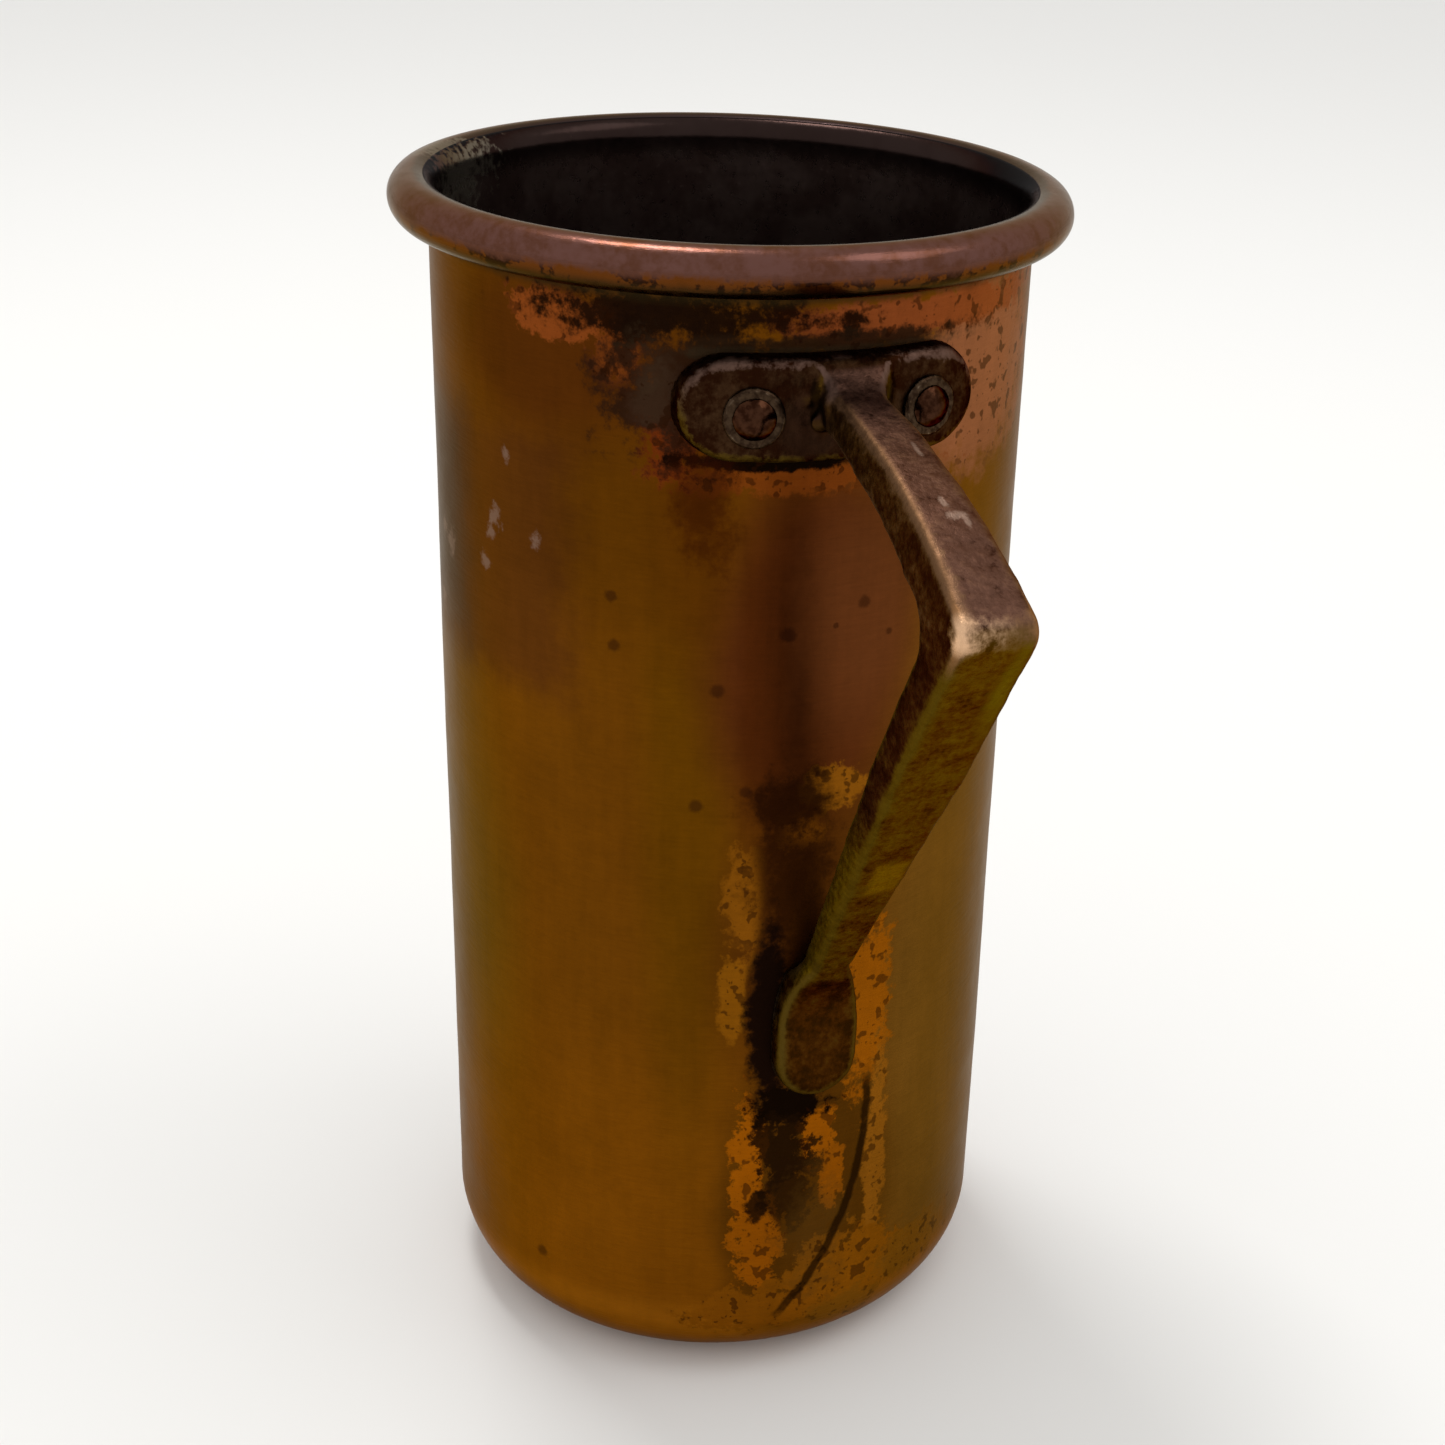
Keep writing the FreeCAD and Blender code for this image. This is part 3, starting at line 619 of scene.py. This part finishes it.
# ---- operators ----------------------------------------------------------------------------------
class MUG_OT_copper_body(bpy.types.Operator):
    """Raised copper body with its edge rolled over the rim wire"""
    bl_idname = "mug.copper_body"
    bl_label = "Copper body"

    def execute(self, context):
        body = context.scene.mug_body
        outer = body.rim - 2 * body.bead + body.sheet
        inner = outer - body.sheet
        wire = body.bead - body.sheet
        bead = (body.rim - body.bead, body.height - body.bead)
        flat = outer - body.base_round
        turned = body.base_round
        lip = 242.0                      # where the rolled edge ends, short of the wall
        outline = [(0, 0)] + run((0, 0), (flat, 0), 10)
        outline += arc((flat, turned), turned, -90, 0, 22)
        outline += run((outer, turned), (outer, bead[1]), 130)
        outline += arc(bead, wire, 180, lip - 360, 30)
        outline += arc(bead, body.bead, lip - 360, 180, 56)
        outline += run((inner, bead[1]), (inner, turned), 40)
        outline += arc((flat, turned), turned - body.sheet, 0, -90, 16)
        outline += run((flat, body.sheet), (0, body.sheet), 6) + [(0, body.sheet)]
        piece = lathe("copper_shell", outline)

        raised_by_hand(piece.data, body)
        piece.data.materials.append(aged_copper(body, context.scene.mug_colours))
        settle(piece, "root", "copper", "copper_body")
        return {"FINISHED"}


class MUG_OT_rim_wire(bpy.types.Operator):
    """Iron wire inside the rolled rim"""
    bl_idname = "mug.rim_wire"
    bl_label = "Rim wire"

    def execute(self, context):
        # Iron, drawn: dark and dull, seen only in the gap behind the rolled edge.
        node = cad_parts["rim_wire"]
        node.data.materials.clear()
        node.data.materials.append(plain_metal("drawn_iron", "#1d1713", "#30241c", 0.5, 0.8))
        return {"FINISHED"}


class MUG_OT_tin_lining(bpy.types.Operator):
    """Tin coat on the inside"""
    bl_idname = "mug.tin_lining"
    bl_label = "Tin lining"

    def execute(self, context):
        body = context.scene.mug_body
        outer = body.rim - 2 * body.bead
        turned = body.base_round - body.sheet
        flat = outer - turned
        top = body.height - body.bead
        deep = turned - body.tin
        centre = (flat, body.base_round)
        outline = [(0, body.sheet)] + run((0, body.sheet), (flat, body.sheet), 6)
        outline += arc(centre, turned, -90, 0, 16)
        bead = (body.rim - body.bead, top)
        outline += run((outer, body.base_round), (outer, top), 60)
        outline += arc(bead, body.bead - 0.05 * MM, 180, 118, 12)      # wiped up over the rim's inner side
        outline += arc(bead, body.bead + 0.05 * MM, 119, 180, 12)
        below = (outer - body.tin, top - 3 * body.bead)
        outline += run((outer - 0.05 * MM, top), below, 6) + [below]
        outline += run(below, (outer - body.tin, body.base_round), 60)
        outline += arc(centre, deep, 0, -90, 16)
        outline += run((flat, body.base_round - deep), (0, body.base_round - deep), 6)
        outline += [(0, body.base_round - deep)]
        piece = lathe("tin_coat", outline)
        raised_by_hand(piece.data, body)
        piece.data.materials.append(dark_tin(body))
        settle(piece, "root", "tin", "tin_lining")
        return {"FINISHED"}


class MUG_OT_handle(bpy.types.Operator):
    """Cast handle: plate, bar, elbow, strap and pad in one piece"""
    bl_idname = "mug.handle"
    bl_label = "Handle"

    def execute(self, context):
        sizes = context.scene.mug_handle
        body = context.scene.mug_body
        wall = body.rim - 2 * body.bead + body.sheet
        mesh = fine_copy(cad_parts["handle"], sizes.grain)

        def free(x, y, z):
            """0 at the wall, so that the plate and the pad keep their seat, and 1 a little off it."""
            return np.clip((np.hypot(x, y) - wall - 0.3 * MM) / (0.8 * MM), 0, 1)

        soften(mesh, sizes.wear, free)
        root = Vector((wall + 4.5 * MM, -4 * MM, HANDLE_HIGH.z - 7 * MM))

        def cast(spot, normal):
            stand = math.hypot(spot.x, spot.y) - wall
            hold = min(1.0, max(0.0, (stand - 0.5 * MM) / MM))
            swell = noise.noise(spot * 170) * 1.3
            sand = noise.noise(spot * 620) * 0.55
            lumps = max(0.0, noise.noise(spot * 480 + Vector((3, 1, 0))) + 0.2)
            near_root = max(0.0, 1 - (spot - root).length / (5.5 * MM))
            return normal * (hold * sizes.roughness * (swell + sand + 15 * near_root * lumps))

        shift(mesh, cast)
        piece = add_piece("handle_casting", mesh)
        mesh.materials.clear()
        mesh.materials.append(cast_brass(context.scene.mug_colours))
        settle(piece, "root", "cast_brass", "handle")
        return {"FINISHED"}


class MUG_OT_rivets(bpy.types.Operator):
    """Two hammered rivets, each with its washer"""
    bl_idname = "mug.rivets"
    bl_label = "Rivets"

    def execute(self, context):
        # Copper, hammered cold: a dark dome with flats.  Brass, cut and filed: a ring with a pale edge,
        # partly a painted highlight.
        copper = plain_metal("hammered_copper", "#27130a", "#3f2619", 0.20, 0.9, "#4d3223")
        # the washer's pale edge colour is worn metal and a painted highlight
        brass = plain_metal("filed_brass", "#291c13", "#443426", 0.34, 0.7, "#a08c76")
        for side in ("left", "right"):
            for kind, metal, slot in (("rivet", copper, "rivet_copper"), ("washer", brass, "washer_brass")):
                self.make(f"{kind}_{side}", kind, metal, slot)
        return {"FINISHED"}

    def make(self, node_name, kind, metal, slot):
        mesh = fine_copy(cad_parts[node_name], 0.11 * MM)
        soften(mesh, 7, lambda x, y, z: np.ones(len(x)))
        reach = 0.10 * MM if kind == "rivet" else 0.05 * MM
        shift(mesh, lambda spot, normal: normal * (noise.noise(spot * 700) - 0.2) * reach)
        mesh.materials.clear()
        mesh.materials.append(metal)
        piece = add_piece(node_name + "_worked", mesh)
        settle(piece, "root", slot, node_name)


class MUG_OT_solder(bpy.types.Operator):
    """Solder between the pad and the wall"""
    bl_idname = "mug.solder"
    bl_label = "Solder"

    def execute(self, context):
        # Solder, melted in: dull and dark with dirt.
        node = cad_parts["solder_joint"]
        node.data.materials.clear()
        node.data.materials.append(plain_metal("soft_solder", "#1c120b", "#2e2115", 0.6, 0.9))
        return {"FINISHED"}


class MUG_OT_stage(bpy.types.Operator):
    """Pale floor, soft studio light and the camera"""
    bl_idname = "mug.stage"
    bl_label = "Stage"

    def execute(self, context):
        scene = context.scene
        self.floor(scene)
        self.light(scene)
        self.camera(scene)
        return {"FINISHED"}

    def floor(self, scene):
        mesh = bpy.data.meshes.new("floor")
        reach = 6.0
        corners = [(-reach, -reach, 0), (reach, -reach, 0), (reach, reach, 0), (-reach, reach, 0)]
        mesh.from_pydata(corners, [], [(0, 1, 2, 3)])
        floor = add_piece("floor", mesh)
        floor.location.z = BODY_LOW.z - 0.02 * MM
        material, tree = new_material("matt_paper")
        finish_surface(tree, Base_Color=tuple(scene.mug_colours.floor), Roughness=0.9)
        mesh.materials.append(material)

    def light(self, scene):
        world = bpy.data.worlds.new("studio")
        world.use_nodes = True
        world.node_tree.nodes["Background"].inputs["Color"].default_value = linear("#f4f4f4")
        world.node_tree.nodes["Background"].inputs["Strength"].default_value = 1.0
        scene.world = world
        scene.view_settings.view_transform = "Standard"
        middle = Vector((0, 0, BODY_HIGH.z / 2))
        for name, turn, lift, away, size, power in (
                ("key", -168, 70, 1.1, 0.26, 4.2), ("fill", 60, 55, 1.3, 0.6, 2.0)):
            lamp = bpy.data.lights.new(name, "AREA")
            lamp.energy = power
            lamp.size = size
            holder = bpy.data.objects.new(name, lamp)
            scene.collection.objects.link(holder)
            a, e = math.radians(turn), math.radians(lift)
            back = Vector((math.cos(a) * math.cos(e), math.sin(a) * math.cos(e), math.sin(e)))
            holder.location = middle + back * away
            holder.rotation_euler = (-back).to_track_quat("-Z", "Y").to_euler()

    def camera(self, scene):
        round_from_handle = math.radians(-19.0)   # where the camera stands
        away, high = 312.35 * MM, 234.3 * MM      # from the body's axis, and above the base
        down, aside, roll = 0.4325, -0.0748, 0.0505
        focal, sensor = 57.3, 36.0
        flat = -math.cos(down)
        facing = Vector((flat * math.cos(aside), flat * math.sin(aside), -math.sin(down)))
        right = facing.cross(Vector((0, 0, 1))).normalized()
        up = right.cross(facing)
        right, up = (right * math.cos(roll) + up * math.sin(roll),
                     up * math.cos(roll) - right * math.sin(roll))
        turn = Matrix((right, up, -facing)).transposed().to_4x4()
        data = bpy.data.cameras.new("camera")
        data.lens, data.sensor_width = focal, sensor
        data.shift_x = -0.109
        data.clip_start, data.clip_end = 0.01, 50
        camera = bpy.data.objects.new("camera", data)
        scene.collection.objects.link(camera)
        camera.matrix_world = (Matrix.Rotation(round_from_handle, 4, "Z")
                               @ Matrix.Translation((away, 0, high)) @ turn)
        scene.camera = camera


class MUG_PT_panel(bpy.types.Panel):
    """Sizes, colours and pieces of the mug"""
    bl_idname = "MUG_PT_panel"
    bl_label = "Copper mug"
    bl_space_type = "VIEW_3D"
    bl_region_type = "UI"
    bl_category = "Mug"

    def draw(self, context):
        for group in (context.scene.mug_body, context.scene.mug_handle, context.scene.mug_colours):
            for name in group.__annotations__:
                self.layout.prop(group, name)
        for operator in OPERATORS:
            self.layout.operator(operator.bl_idname)


OPERATORS = (MUG_OT_copper_body, MUG_OT_rim_wire, MUG_OT_tin_lining, MUG_OT_handle, MUG_OT_rivets,
             MUG_OT_solder, MUG_OT_stage)
CLASSES = (MUG_PG_body, MUG_PG_handle, MUG_PG_colours, *OPERATORS, MUG_PT_panel)


def register():
    for kind in CLASSES:
        bpy.utils.register_class(kind)
    bpy.types.Scene.mug_body = bpy.props.PointerProperty(type=MUG_PG_body)
    bpy.types.Scene.mug_handle = bpy.props.PointerProperty(type=MUG_PG_handle)
    bpy.types.Scene.mug_colours = bpy.props.PointerProperty(type=MUG_PG_colours)


def unregister():
    del bpy.types.Scene.mug_body, bpy.types.Scene.mug_handle, bpy.types.Scene.mug_colours
    for kind in reversed(CLASSES):
        bpy.utils.unregister_class(kind)


def main():
    register()
    bpy.ops.mug.copper_body()
    bpy.ops.mug.rim_wire()
    bpy.ops.mug.tin_lining()
    bpy.ops.mug.handle()
    bpy.ops.mug.rivets()
    bpy.ops.mug.solder()
    bpy.ops.mug.stage()


if __name__ == "__main__":
    main()
